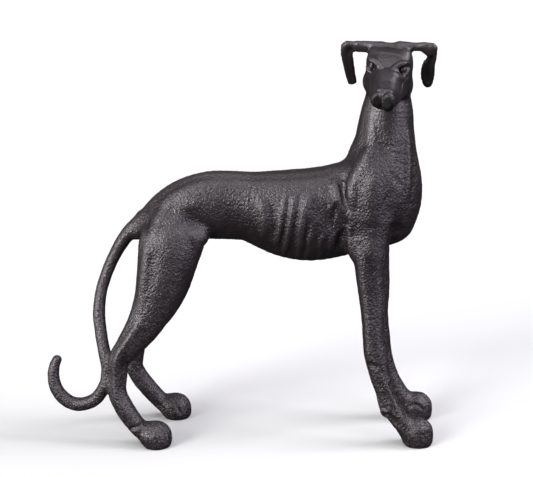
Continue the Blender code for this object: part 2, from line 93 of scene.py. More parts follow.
# The sand mould's grain, in millimetres
COARSE_SIZE, COARSE_HEIGHT = 6, 0.20
FINE_SIZE, FINE_HEIGHT = 2, 0.08
FINE_PLACE = (40, 7, 3)  # where in the noise the fine grain is taken from
SMOOTH_HEAD = (252, 22)  # height from which the grain fades, and over what stretch
SMOOTH_BACK = (0.72, 0.2, 185)  # how far up the skin faces there, its fade, and least height
SMOOTHING = 0.6  # share of the grain that is lost

# Masks for the material, in millimetres, for the black nose and the painted shade on the ears, both
# placed in the head's own axes
NOSE_LOBES = ((-5.8, -2.6, 4, 7), (3.5, -4.4, 5, 8.8))  # left, up, half width and half height
NOSE_FRONT = 56.2  # the black starts ahead of this
EAR_SHADE_OUTSIDE, EAR_SHADE_BELOW = 23, 9  # painted shade darkens the ears farther out and lower than this
EAR_PAINTED_SHADE = 0.75  # how dark the ears' painted shade gets, as a share of the nose's black
EDGE_AND_HOLLOW_ROUNDS = 12  # passes that even out the skin which edges and hollows are measured from
EDGE_AND_HOLLOW_HEIGHT = 0.5  # an edge this high counts in full as rubbed, a hollow this deep in full as painted shade
LEGS_BELOW, LEGS_FADE = 150, 90  # painted highlights and shade on the legs' grain, their sheen and fine bump start below this height, and its fade

# Paint: its colours, with painted shade and painted highlights, its patches and pits in cycles a
# metre, and depths in metres
PAINT_DARK, PAINT_LIGHT = (0.015, 0.012, 0.014), (0.024, 0.019, 0.022)
RUBBED_EDGE = (0.050, 0.040, 0.043)
# painted shade that darkens the skin's hollows
PAINTED_HOLLOW_SHADE = (0.008, 0.007, 0.008)
# painted highlight on the tops of the legs' grain and painted shade in its pits
GRAIN_PAINTED_HIGHLIGHT, GRAIN_PAINTED_SHADE = (0.110, 0.094, 0.098), (0.004, 0.003, 0.004)
NOSE_BLACK = (0.003, 0.003, 0.003)
PAINT_PATCHES = 60
SHEEN_PATCHES, SMOOTH_SHEEN_PATCHES = 240, 260
PITTING, FINE_PITTING = 560, 850
PIT_DEPTH, FINE_PIT_DEPTH = 0.0009, 0.00045

# Studio
FLOOR_REACH = 60.0
FLOOR_COLOUR = (0.95, 0.95, 0.95)
BACKDROP_COLOUR = (0.94, 0.94, 0.94)
DOME_COLOUR = (1, 0.99, 0.99)
DOME_ABOVE = 0.14
DOME_BELOW = 0.03
# Name; degrees round from the camera to its left, height and spread; strength and colour
LIGHTS = (
    ("key", 42, 21, 28, 2.3, (1, 0.995, 0.99)),
    ("left", 80, 2, 35, 0.75, (1, 0.995, 0.98)),
    ("top", 5, 70, 60, 1.0, (1, 0.995, 1)),
    ("rim", -90, 42, 35, 1.7, (0.95, 0.93, 1)),
    ("fill", -50, 14, 32, 0.8, (0.9, 0.86, 1)),
)

# The photograph's camera
PHOTO_WIDTH = 533  # pixels
FOCAL_PIXELS = 1225.46  # focal length in the photograph's pixels
SENSOR_WIDTH = 36  # millimetres
CAMERA_TARGET = (23.806, 0, 172.231)  # millimetres on the figure
CAMERA_RISE = 12  # degrees above level
CAMERA_DISTANCE = 1.05  # metres

Mass = namedtuple("Mass", "chunks from_unit blend cut")
Chunk = namedtuple("Chunk", "centres to_unit inverse_square low high")
Stroke = namedtuple("Stroke", "line width height")


def smooth_line(stations, step_between):
    """Rows along a smooth curve through the stations, which start with x, y and z."""
    stations = np.array(stations, float)
    before, after = 2 * stations[0] - stations[1], 2 * stations[-1] - stations[-2]
    knots = np.vstack([before, stations, after])
    line = []
    for a, b, c, d in zip(knots, knots[1:], knots[2:], knots[3:]):
        count = max(2, math.ceil(np.linalg.norm(c[:3] - b[:3]) / step_between(b, c)))
        for t in np.arange(count) / count:
            bend = (2 * a - 5 * b + 4 * c - d) * t**2 + (3 * b - a - 3 * c + d) * t**3
            line.append(b + 0.5 * ((c - a) * t + bend))
    line.append(stations[-1])
    return np.array(line)


def pellet_step(b, c):
    """How far apart pellets lie between two stations with two radii each."""
    return PELLET_STEP * min(b[3:].min(), c[3:].min())


def stroke_step(b, c):
    """How far apart the points of a stroke lie, the same between any two stations."""
    return STROKE_STEP


def make_mass(centres, axes, radii, blend, cut):
    """Ellipsoid pellets: centres, unit axes in columns and radii."""
    from_unit = np.concatenate([axes * radii[:, None, :], centres[:, :, None]], axis=2)
    to_unit = np.transpose(axes, (0, 2, 1)) / radii[:, :, None]
    chunks = []
    for start in range(0, len(centres), CHUNK):
        part = slice(start, start + CHUNK)
        reach = radii[part].max() + 2.5 * blend + REACH_SPARE
        chunks.append(Chunk(centres[part], to_unit[part], radii[part]**-2.0,
                            centres[part].min(axis=0) - reach,
                            centres[part].max(axis=0) + reach))
    return Mass(chunks, from_unit, blend, cut)


def strand(stations, blend, side=(0, 1, 0), place=Matrix.Identity(4), cut=False):
    """A limb-like mass: ovals swept along stations of (x, y, z, deep, wide), wide along side."""
    line = smooth_line(stations, pellet_step)
    along = np.gradient(line[:, :3], axis=0)
    along /= np.linalg.norm(along, axis=1)[:, None]
    across = np.array(side, float) - along * (along @ np.array(side, float))[:, None]
    across /= np.linalg.norm(across, axis=1)[:, None]
    axes = np.stack([np.cross(across, along), across, along], axis=2)
    radii = np.column_stack([line[:, 3], line[:, 4], line[:, 3:].min(axis=1)])
    turn = np.array(place.to_3x3())
    centres = line[:, :3] @ turn.T + np.array(place.translation)
    return make_mass(centres, turn @ axes, radii, blend, cut)


def lump(centre, radii, blend, place=Matrix.Identity(4), lean=(0, 0, 0), cut=False):
    """One ellipsoid, leaning by Euler angles in degrees."""
    axes = place.to_3x3() @ Euler([math.radians(a) for a in lean]).to_matrix()
    middle = np.array(place @ Vector(centre))
    return make_mass(middle[None], np.array(axes)[None], np.array([radii], float), blend, cut)


def stroke(stations, place=Matrix.Identity(4)):
    """A line drawn on the skin: (x, y, z, width, height), sunk where the height is negative."""
    line = smooth_line(stations, stroke_step)
    turn = np.array(place.to_3x3())
    return Stroke(line[:, :3] @ turn.T + np.array(place.translation), line[:, 3], line[:, 4])


def mirrored(drawing, place=Matrix.Identity(4)):
    """Strokes of both sides from a drawing of one, with y as the distance out."""
    return [stroke([(x, side * y, *rest) for x, y, *rest in stations], place)
            for side in (-1, 1) for stations in drawing]


def body():
    """The trunk from rump to chest, then the neck."""
    return [
        strand([(-73, 0, 185.5, 15.5, 14), (-57, 0, 193, 22.5, 19.5), (-41, 0, 199, 26.3, 21.5),
                (-24, 0, 201.3, 29.2, 20.5), (-7, 0, 201.3, 29.6, 19.5), (10, 0, 200.2, 30, 21),
                (27, 0, 197, 34.3, 24), (44, 0, 194, 38.3, 26.5), (61, 0, 193.2, 40, 28),
                (78, 0, 195.5, 39.7, 28), (95, 0, 197.5, 37.5, 27), (106, 0, 198, 33, 26)], 6),
        lump((89, 0, 226.5), (14, 14, 10), 8),
        strand([(118.5, 0, 190, 32, 23.5), (120.5, 0, 206, 35, 26), (121, 0, 223, 34.5, 25.5),
                (122, 0, 240, 30, 23.5), (123.5, 0, 254, 26, 21), (124, 0, 267, 23.8, 18.7),
                (125, 0, 281, 21.8, 17), (125.5, 1, 295, 18.4, 16),
                (125.5, 2, 308, 17, 16)], 8),
    ]


def hind_leg(side):
    """Thigh, hock and paw of one side: -1 is the dog's right, 1 its left."""
    ahead = HIND_STAGGER / MM if side > 0 else 0
    paw = side * HIND_TRACK / MM / 2
    return [
        strand([(-55, paw * 0.42, 185, 20, 12),
                (-57.5 + ahead * 0.2, paw * 0.53, 171, 26, 15),
                (-63 + ahead * 0.4, paw * 0.62, 148, 22.6, 15),
                (-69.7 + ahead * 0.6, paw * 0.69, 124, 18.6, 13.5),
                (-80 + ahead * 0.8, paw * 0.77, 103, 14.8, 11.5),
                (-92.3 + ahead * 0.9, paw * 0.85, 86, 11.4, 9.5),
                (-101 + ahead * 0.9, paw * 0.89, 74, 9.2, 8.2),
                (-102 + ahead * 0.8, paw * 0.92, 60, 7.6, 7),
                (-103 + ahead * 0.75, paw * 0.95, 46, 7.9, 7),
                (-97.4 + ahead * 0.9, paw * 0.98, 32.5, 8.1, 7.8),
                (-88.2 + ahead * 1.1, paw, 18.5, 7.7, 8.6),
                (-79.5 + ahead * 1.15, paw, 9.5, 7.4, 9.6),
                (-73 + ahead * 1.2, paw, 7, 7.4, 10.4)], 8),
        lump((-35, side * 18, 177.4), (10, 8, 8.5), 7),
        lump((-76.5 + ahead * 1.15, paw, 10), (6.6, 9.6, 8.4), 4),
        lump((-70.5 + ahead * 1.2, paw, 7.7), (13.2, 12.3, 12.6), 4),
        lump((-69.8 + ahead * 1.25, paw, 3), (12.2, 11.7, 9), 3),
    ]


def foreleg(side):
    """Forearm, pastern and paw of one side."""
    ahead = FORE_STAGGER / MM if side > 0 else 0
    paw = side * FORE_TRACK / MM / 2
    return [
        strand([(113, paw * 0.6, 190, 15, 11), (111 + ahead * 0.7, paw * 0.67, 165, 14, 11),
                (111 + ahead, paw * 0.73, 145, 12, 9.5), (113.2 + ahead, paw * 0.79, 122, 10.7, 9),
                (113.8 + ahead, paw * 0.85, 105, 9.4, 8.6),
                (114.5 + ahead, paw * 0.88, 92, 9.2, 8.4),
                (116.5 + ahead * 0.9, paw * 0.91, 78, 9.8, 8.8),
                (120.3 + ahead * 0.8, paw * 0.94, 61, 9, 8),
                (125.5 + ahead * 0.85, paw * 0.97, 44, 8, 7.6),
                (130 + ahead * 0.85, paw * 0.98, 33, 8.3, 8.4),
                (137 + ahead * 0.85, paw, 22, 8, 9.4),
                (144.5 + ahead * 0.85, paw, 13, 8.2, 10.2),
                (151 + ahead * 0.85, paw, 9, 8.6, 10.8)], 8),
        lump((126.3 + ahead, paw * 0.97, 28), (5, 6, 4.6), 3),
        lump((153.2 + ahead * 0.85, paw, 9.3), (13.5, 12, 13.3), 5),
        lump((153.7 + ahead * 0.85, paw, 3), (12.8, 11.5, 9), 3),
    ]


def shoulder(side):
    """The shoulder over the ribcage, the elbow, and the creases behind them."""
    return [
        lump((111, side * 16.5, 211), (24, 14, 40), 7, lean=(0, 8, 0)),
        lump((99, side * 20, 170), (7, 8, 12), 6),
        strand([(80.5, side * 17, 225, 1.2, 1.2), (82.5, side * 24.3, 211, 2.4, 2.4),
                (86, side * 26.5, 197, 1.8, 1.8)], 3),
        strand([(92, side * 17.5, 238, 1.5, 1.5), (88, side * 21, 228, 2.4, 2.4),
                (86.8, side * 26, 216, 2.8, 2.8), (88.3, side * 29, 203, 2.8, 2.8),
                (91, side * 29.8, 190, 2, 2)], 2.5, cut=True),
        lump((83.5, side * 32.3, 184), (8.5, 7, 22), 5, cut=True),
    ]


def tail():
    """From the rump down to the right hock, which it is cast onto, then out in a hook."""
    return [
        lump((-86, -1, 179), (7, 7, 7.5), 4),
        strand([(-82, 0, 188.5, 7, 7), (-94.8, -0.5, 176.5, 6.2, 6.2), (-107, -3, 157, 5.3, 5.3),
                (-116.5, -8, 133, 5, 5), (-119.5, -14, 112, 5.2, 5.2),
                (-117.5, -20, 94, 5.2, 5.2), (-114.3, -26, 79, 5.2, 5.2),
                (-112, -29, 65, 5, 5), (-114, -30, 51, 5.3, 5.3), (-122, -29, 38.5, 5.6, 5.6),
                (-133, -28, 33.2, 5.8, 5.8), (-143, -27, 33.6, 5.8, 5.8),
                (-151.5, -26, 39, 5.7, 5.7), (-157, -25, 47.5, 5.4, 5.4),
                (-158.8, -24, 57.5, 5, 5), (-157.8, -23, 65.5, 4.5, 4.5),
                (-155.5, -22.5, 71, 4, 4)], 4),
    ]


def head_place():
    """From the head's own axes, forwards, left and up, to the figure's."""
    turn = Matrix.Rotation(math.radians(-HEAD_TURN), 4, "Z")
    nod = Matrix.Rotation(math.radians(HEAD_NOD), 4, "Y")
    tilt = Matrix.Rotation(math.radians(-HEAD_TILT), 4, "X")
    return Matrix.Translation(SKULL_CENTRE) @ turn @ nod @ tilt


def in_head_axes(points):
    """Places given in the head's own axes, forwards, left and up."""
    to_head = np.array(head_place().inverted())
    return points @ to_head[:3, :3].T + to_head[:3, 3]


def head():
    """Skull, jaws, muzzle, brows and eyes, and the two strap ears."""
    place = head_place()
    masses = [
        strand([(-10, 0, -1, 13, 9), (-2, 0, -0.5, 15.6, 10), (8, 0, -2.3, 15.4, 9.6),
                (16, 0, -4.8, 13, 8.6), (28, 0, -5.6, 12.4, 7), (43, -0.3, -5, 10.3, 6),
                (54, -0.3, -4, 8.4, 5)], 3, place=place),
        strand([(-9, -28, 11.8, 4.2, 2.6), (-9, -16, 12.2, 4.3, 3.4), (-9, -4, 12.6, 4.4, 4),
                (-9, 8, 13.4, 4.2, 3.8), (-9.4, 18, 14.6, 3, 2.8), (-9.4, 27, 15.6, 3.2, 2.4)],
               3, side=(1, 0, 0), place=place),
        lump((-1, -13.4, 5), (10, 5.6, 9.5), 4, place),
        lump((-1, 12.4, 6.5), (10, 5.6, 9.5), 4, place),
        lump((2, -15.4, -13.4), (11, 6, 8.2), 4, place),
        lump((3, 14, -15.4), (11, 6.4, 8.8), 4, place),
    ]
    for side in (-1, 1):
        masses += [
            strand([(-10, side * 6, -1, 13, 11), (-2, side * 7, -0.5, 15.6, 12.2),
                    (8, side * 7, -2.5, 15.6, 11.3), (16, side * 6.4, -5, 13.2, 9.6),
                    (28, side * 5, -5.7, 12.5, 7.4), (43, side * 4, -5, 10.3, 6.2),
                    (54, side * 3.4, -4, 8.4, 5.2)], 3, place=place),
            strand([(3, side * 13.6, -12, 9.4, 5.4), (14, side * 11.4, -11.4, 9, 5.5),
                    (28, side * 9, -10, 8.6, 5.1), (43, side * 6.6, -8.4, 7, 4)],
                   4, place=place),
        ]
    masses += left_ear(place) + right_ear(place)
    for side, (y, z, wide) in zip((-1, 1), EYES):
        masses += [
            lump((18.8, y + side * 0.4, z), (3.2, wide, 3.5), 2.2, place, (0, 0, side * -20), True),
            lump((14.6, y, z - 0.4), (3.7, 0.7 * wide, 3.2), 0.8, place),
            strand([(21.6, y - side * 7.4, z + 1.6, 1.4, 2), (19, y - side * 4, z + 4.6, 1.7, 2.3),
                    (16.4, y, z + 5.8, 1.9, 2.8), (12, y + side * 3, z + 4, 1.5, 2.2)],
                   2.8, place=place),
        ]
    masses += [
        lump((58.4, -5.6, -2.8), (4.6, 4.8, 6.6), 0.8, place),
        lump((58.2, 3.6, -4.4), (4.8, 5.6, 8.2), 0.8, place),
        lump((91.5, -0.4, 0), (30, 30, 30), 0.8, place, cut=True),
    ]
    return masses


def left_ear(place):
    """The ear on the dog's right, folded down from the end of its strap."""
    return [
        strand([(-9, -9, 12.6, 4.3, 5), (-9.2, -18, 12.2, 4.3, 3), (-9.2, -27, 11.9, 4.2, 2.4),
                (-8.8, -37.4, 11.8, 4.3, 2.3)], 3, side=(1, 0, 0), place=place),
        strand([(-8.8, -36.6, 11.6, 5.4, 2.3), (-8.8, -36.8, 4.6, 5.2, 2.3),
                (-9.4, -35.2, -4, 4.8, 2.3), (-10.2, -33.2, -13.6, 4.4, 2.2),
                (-10.8, -31.2, -21.8, 4, 2.2)], 3, side=(1, 0, 0), place=place),
    ]


def right_ear(place):
    """The ear on the dog's left, with a waist above its lobe."""
    return [
        strand([(-9, 7, 14.4, 4.3, 5), (-9.5, 16, 15.2, 3, 3), (-9.5, 21, 15.4, 2.7, 2.3),
                (-9, 27, 16, 3.6, 2.3), (-8.6, 33.6, 15.6, 4.4, 2.3)],
               3, side=(1, 0, 0), place=place),
        lump((-8.8, 29.6, 12.8), (2.3, 4.4, 3.6), 2, place),
        strand([(-8.6, 33, 15.4, 4.8, 2.3), (-8.6, 33.8, 7, 4, 2.3),
                (-9.4, 31.6, -0.6, 5.4, 2.4), (-10, 31.4, -9, 5.9, 2.4),
                (-10.4, 32, -16.2, 4.6, 2.2), (-10.6, 32.6, -19.2, 3.2, 1.9)],
               3, side=(1, 0, 0), place=place),
    ]


def greyhound_masses():
    """Every mass of the figure, in the order in which it is laid on."""
    masses = body()
    for side in (-1, 1):
        masses += hind_leg(side) + foreleg(side) + shoulder(side)
    return masses + tail() + head()


def distance_to(chunk, points):
    """Distance from each point to the nearest pellet's surface, negative inside it."""
    count = len(chunk.centres)
    flat = chunk.to_unit.reshape(count * 3, 3)
    shift = np.einsum("mij,mj->mi", chunk.to_unit, chunk.centres).reshape(-1)
    square = (points @ flat.T - shift).reshape(len(points), count, 3)**2
    reach = np.sqrt(square.sum(axis=2)) + 1e-9
    slope = np.sqrt((square * chunk.inverse_square).sum(axis=2)) + 1e-9
    return ((reach - 1) * reach / slope).min(axis=1)


def soft_min(a, b, blend):
    """The smaller of a and b, rounded over where they are closer than blend."""
    overlap = np.clip(1 - np.abs(a - b) / blend, 0, 1)
    return np.minimum(a, b) - overlap**2 * blend / 4


def skin_distance(masses, points):
    """Distance from each point to the soft union of the masses, less the cut ones."""
    distance = np.full(len(points), FAR)
    for mass in masses:
        found = np.full(len(points), FAR)
        for chunk in mass.chunks:
            near = ((points > chunk.low) & (points < chunk.high)).all(axis=1)
            if near.any():
                found[near] = np.minimum(found[near], distance_to(chunk, points[near]))
        if mass.cut:
            distance = -soft_min(-distance, found, mass.blend)
        else:
            distance = soft_min(distance, found, mass.blend)
    return distance


def fuse(masses, voxel):
    """A closed mesh round all the pellets, on a grid of the given size."""
    sphere = bmesh.new()
    bmesh.ops.create_icosphere(sphere, subdivisions=2, radius=1)
    ball = np.array([vert.co[:] for vert in sphere.verts])
    faces = np.array([[vert.index for vert in face.verts] for face in sphere.faces])
    sphere.free()
    pellets = np.concatenate([mass.from_unit for mass in masses if not mass.cut])
    points = np.einsum("nij,kj->nki", pellets[:, :, :3], ball) + pellets[:, None, :, 3]
    corners = (faces[None] + np.arange(len(pellets))[:, None, None] * len(ball)).reshape(-1, 3)
    mesh = bpy.data.meshes.new("clay")
    mesh.from_pydata((points.reshape(-1, 3) * MM).tolist(), [], corners.tolist())
    lumps = bpy.data.objects.new("clay", mesh)
    bpy.context.scene.collection.objects.link(lumps)
    remesh = lumps.modifiers.new("Fuse", "REMESH")
    remesh.mode = "VOXEL"
    remesh.voxel_size = voxel * MM
    graph = bpy.context.evaluated_depsgraph_get()
    fused = bpy.data.meshes.new_from_object(lumps.evaluated_get(graph))
    bpy.data.objects.remove(lumps)
    bpy.data.meshes.remove(mesh)
    return fused


def read_points(mesh):
    """The mesh's points in sketch millimetres."""
    points = np.empty(len(mesh.vertices) * 3)
    mesh.vertices.foreach_get("co", points)
    return points.reshape(-1, 3) / MM


def write_points(mesh, points):
    """Moves the mesh's points to places in sketch millimetres."""
    mesh.vertices.foreach_set("co", (points * MM).ravel())
    mesh.update()


def read_normals(mesh):
    """The skin's direction outwards at each point."""
    normals = np.empty(len(mesh.vertices) * 3)
    mesh.vertex_normals.foreach_get("vector", normals)
    return normals.reshape(-1, 3)


def relaxed(mesh, points, share):
    """The points drawn a share of the way to the middle of their neighbours."""
    edges = np.empty(len(mesh.edges) * 2, int)
    mesh.edges.foreach_get("vertices", edges)
    ends = np.concatenate([edges.reshape(-1, 2), edges.reshape(-1, 2)[:, ::-1]])
    count = len(points)
    total = np.stack([np.bincount(ends[:, 0], points[ends[:, 1], axis], count)
                      for axis in range(points.shape[1])], axis=1)
    return points + share * (total / np.bincount(ends[:, 0], minlength=count)[:, None] - points)


def settle(mesh, masses, relaxing):
    """Draws the mesh onto the soft union, relaxing its faces by each share in turn first."""
    for share in relaxing:
        points = read_points(mesh)
        if share:
            points = relaxed(mesh, points, share)
            write_points(mesh, points)
        move = skin_distance(masses, points)
        write_points(mesh, points - read_normals(mesh) * np.clip(move, -PULL, PULL)[:, None])


def refine(mesh, wanted):
    """Splits the faces whose middles the function wanted picks into four."""
    work = bmesh.new()
    work.from_mesh(mesh)
    middles = np.array([face.calc_center_median()[:] for face in work.faces]) / MM
    picked = np.nonzero(wanted(middles))[0]
    work.faces.ensure_lookup_table()
    edges = {edge for index in picked for edge in work.faces[index].edges}
    bmesh.ops.subdivide_edges(work, edges=list(edges), cuts=1, use_grid_fill=True)
    bmesh.ops.triangulate(work, faces=[face for face in work.faces if len(face.verts) > 4])
    work.to_mesh(mesh)
    work.free()


def finer(middles):
    """Where the skin is worked finer: paws, forelegs, the front of the head, flanks and neck."""
    local = in_head_axes(middles)
    face = (local[:, 0] > 2) & (local[:, 2] > -24) & (np.abs(local[:, 1]) < 26)
    paws = middles[:, 2] < 26
    forelegs = (middles[:, 0] > 94) & (middles[:, 2] < 170)
    flanks = (middles[:, 0] > 8) & (middles[:, 2] < 232) & (middles[:, 2] > 155)
    shoulders = (middles[:, 0] > 76) & (middles[:, 2] < 290)
    return face | paws | forelegs | flanks | shoulders


def face_and_nose(middles):
    """Where the skin is worked finest: brows, eyes and nose."""
    local = in_head_axes(middles)
    eyes = (local[:, 0] > 10) & (local[:, 0] < 25) & (np.abs(local[:, 2] - 5) < 9)
    nose = (local[:, 0] > 55) & (local[:, 2] > -15)
    return (eyes & (np.abs(local[:, 1]) > 3)) | nose


def relief_masses():
    """Small forms laid on the settled skin: ear hollows, lids, pupils and toes."""
    place = head_place()
    masses = [
        strand([(-5.4, 33.6, 7, 2.6, 3), (-6, 31.6, -1, 3.9, 3.2), (-6.5, 31.2, -9, 4.5, 3.2),
                (-7, 31.8, -15, 3, 2.6)], 1.5, side=(1, 0, 0), place=place, cut=True),
        strand([(-5.4, -34, 10, 3, 2.2), (-5.2, -36.2, 4, 3.2, 2.2),
                (-5.8, -34.6, -5, 3, 2.2), (-6.8, -31.8, -18, 2.6, 2.2),
                (-7, -30.8, -27, 2.6, 2.2)], 1.5, side=(1, 0, 0), place=place, cut=True),
    ]
    for side, (y, z, _) in zip((-1, 1), EYES):
        masses += [
            strand([(20.4, y - side * 6.4, z - 0.6, 0.9, 1.1),
                    (19.4, y - side * 2, z - 3.8, 1.2, 1.5),
                    (17.4, y + side * 2.4, z - 3.4, 1.2, 1.5), (13.4, y + side * 5, z, 0.9, 1.1)],
                   1.2, place=place),
            lump((19.4, y + side * 0.3, z - 0.5), (1.3, 1.3, 1.3), 0.4, place, cut=True),
        ]
    for side in (-1, 1):
        masses += toes(side, -71, HIND_TRACK, HIND_STAGGER * 1.2)
        masses += toes(side, 153, FORE_TRACK, FORE_STAGGER * 0.85)
    return masses


def toes(side, middle, track, stagger):
    """Grooves between the four toes of one paw."""
    x = middle + (stagger / MM if side > 0 else 0)
    y = side * track / MM / 2
    return [strand([(x + 3, y + gap * 0.8, 20.5, 0.5, 0.5), (x + 9, y + gap, 17, 0.9, 0.9),
                    (x + 12.5, y + gap * 1.1, 9, 1, 1), (x + 13, y + gap * 1.1, 0, 0.9, 0.9)],
                   1, cut=True) for gap in (-5.4, 0, 5.4)]


def flank_strokes():
    """Ribs, the hollows between them, the blade's edge and the creases behind it."""
    return [
        [(15, 19, 214, 5, 0), (20, 22, 205, 7, 1.5), (22, 22, 192, 7, 1.7),
         (21, 21, 182, 6, 1.4), (18, 17, 174, 5, 0)],
        [(28, 24, 207, 3.5, 0), (29, 24, 198, 4.4, -0.9), (31, 23, 182, 4, -1),
         (31, 18, 172, 3, 0)],
        [(41, 21, 217, 3, 0), (39, 23, 208, 4.2, 1.1), (36, 26, 193, 4.4, 1.7),
         (32, 22, 176, 4, 1.4), (29, 17, 168, 3, 0)],
        [(42, 24, 207, 3, 0), (40.5, 26, 193, 4, -0.9), (37.5, 22, 176, 3.6, -0.9),
         (35, 16, 166, 3, 0)],
        [(49, 21, 217, 3, 0), (46.5, 24, 209, 4.2, 1.2), (43, 26, 190, 4.4, 1.8),
         (40, 21, 172, 4, 1.5), (38, 13, 160, 3, 0.5)],
        [(51, 25, 206, 3, 0), (48, 26, 190, 4, -0.9), (45.5, 20, 170, 3.6, -0.9),
         (44, 15, 161, 3, 0)],
        [(62, 22, 218, 4, 0), (57.5, 25, 209, 6, 1.7), (53.5, 27, 192, 5.6, 2),
         (51.5, 24, 176, 4.4, 1.6), (50, 13, 159, 3.5, 0.8)],
        [(62, 26, 200, 4, 0), (58, 26, 186, 3.6, -1.1), (56, 20, 168, 3, -1),
         (55, 14, 160, 3, 0)],
        [(63, 26, 188, 3, 0), (60, 24, 177, 3.6, 1.2), (57.5, 13, 159, 3.4, 1)],
        [(73, 26, 184, 3, 0), (69, 24, 175, 3.4, 1.1), (68, 13, 160, 3.2, 0.9)],
        [(81, 25, 184, 3, 0), (77.5, 24, 176, 3.2, 1), (76, 14, 162, 3, 0.6)],
        [(64, 24, 212, 10, 0), (70, 27, 200, 12, -1.6), (71, 27, 190, 11, -1.4),
         (72, 24, 178, 9, 0)],
        [(82, 27, 210, 2.6, 0), (80.5, 27, 203, 4, -1.4), (78.5, 26, 192, 4, -1.3),
         (77, 24, 184, 3, 0)],
        [(78, 18, 227, 3, 0), (80.5, 22, 220, 5, 1.3), (83.4, 25, 211, 5.4, 1.6),
         (87.5, 26, 199, 5, 1.2), (90, 27, 191, 3.6, 0)],
        [(86, 17, 233, 3, 0), (86.4, 20, 226, 4.6, -0.6), (88.4, 23, 217, 5, -0.9),
         (91.5, 27, 206, 4.6, -0.7), (94, 28, 198, 3, 0)],
        [(88, 26, 188, 3.4, 0), (86.5, 25, 181, 5, -3), (84.5, 22, 172, 5, -3),
         (84, 19, 164, 4, 0)],
        [(94, 27, 192, 4, 0), (92.5, 27, 182, 4.4, 1.1), (93, 26, 170, 4.4, 1.2),
         (97, 26, 160, 4, 0)],
    ]


def neck_and_chest_strokes():
    """Crests and fine creases of the neck, the shoulder and the hollow of the breast."""
    return [
        [(110, 12, 286, 4, 0), (109.5, 15, 270, 7, 0.9), (108.5, 20, 254, 8, 1.3),
         (101, 25, 238, 9, 1.6), (95, 27, 225, 9, 1.6), (94, 28, 214, 8, 1.3),
         (96, 29, 204, 6, 0)],
        [(121, 17, 270, 6, 0), (120, 21, 258, 8, -0.6), (119, 23, 246, 7, -0.4),
         (118, 25, 238, 6, 0)],
        [(113, 24, 242, 9, 0), (112, 27, 229, 13, 1.8), (111, 29, 214, 14, 2.1),
         (110, 30, 200, 12, 1.5), (109, 30, 188, 8, 0)],
        [(139.5, 13, 276, 4, 0), (141.5, 14, 264, 5, 0.8), (142.5, 16, 248, 5, 1.2),
         (142.5, 20, 232, 5, 1.3), (141.5, 22, 216, 5, 0.9), (139, 23, 204, 4, 0)],
        [(134, 17, 272, 6, 0), (134.5, 20, 256, 9, -0.6), (135, 23, 236, 9, -0.8),
         (136, 24, 222, 6, 0)],
        [(124, 27, 235, 3, 0), (129, 26, 230, 4, -0.7), (133, 24, 224, 4, -1),
         (136, 23, 219, 3, 0)],
        [(130, 27, 221, 3, 0), (125, 29, 214.5, 4, -0.7), (121, 29.6, 206, 3, 0)],
        [(114, 20, 258.6, 1, 0), (119, 20, 258.4, 1.4, 0.5), (127, 20, 256.6, 1.4, 0.4),
         (131, 20, 256, 1, 0)],
        [(115, 21, 255.4, 1, 0), (123, 20, 255, 1.4, -0.5), (131, 20, 254.2, 1.4, -0.4),
         (136, 18, 255, 1, 0)],
        [(118, 21, 252, 1, 0), (125, 21, 252, 1.3, 0.4), (133, 20, 251, 1.3, 0.4),
         (137, 18, 252, 1, 0)],
        [(126, 25, 192, 6, 0), (132, 22, 185, 8, -1.2), (141, 14, 181, 6, 0)],
    ]


